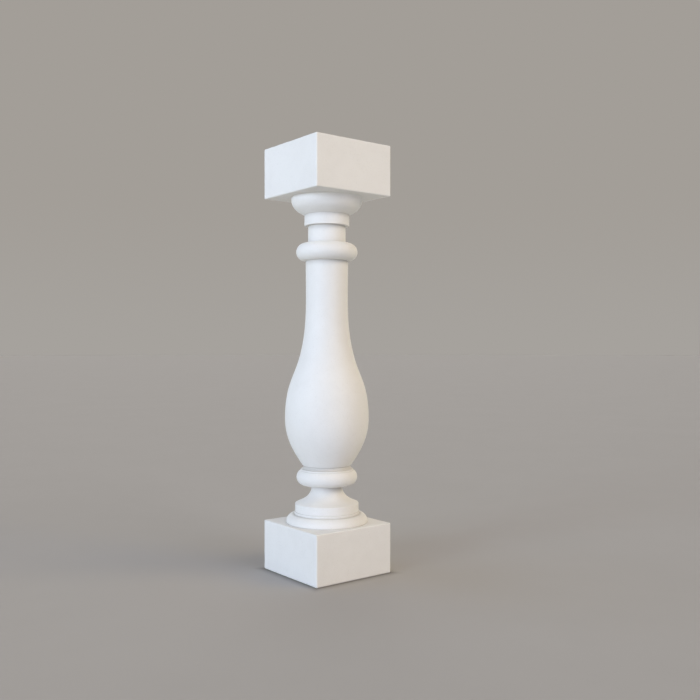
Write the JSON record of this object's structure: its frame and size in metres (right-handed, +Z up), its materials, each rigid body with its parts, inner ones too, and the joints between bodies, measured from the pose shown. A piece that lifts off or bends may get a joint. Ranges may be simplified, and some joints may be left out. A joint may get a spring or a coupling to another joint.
{
  "type": "stone baluster",
  "caption": "Pale stone baluster: a turned vase shaft with torus and fillet mouldings between a square plinth and a square abacus, all one block.",
  "frame": {"origin": "centre of the underside of the square plinth, where the baluster stands", "axes": "+Z up along the turning axis to the top of the abacus, X and Y square to the faces of the plinth and the abacus"},
  "size_m": [0.15, 0.15, 0.7],
  "materials": {
    "stone": "smooth dressed pale stone, matte, with a faint grain"
  },
  "bodies": {
    "root": {"baluster": "stone"}
  },
  "joints": []
}
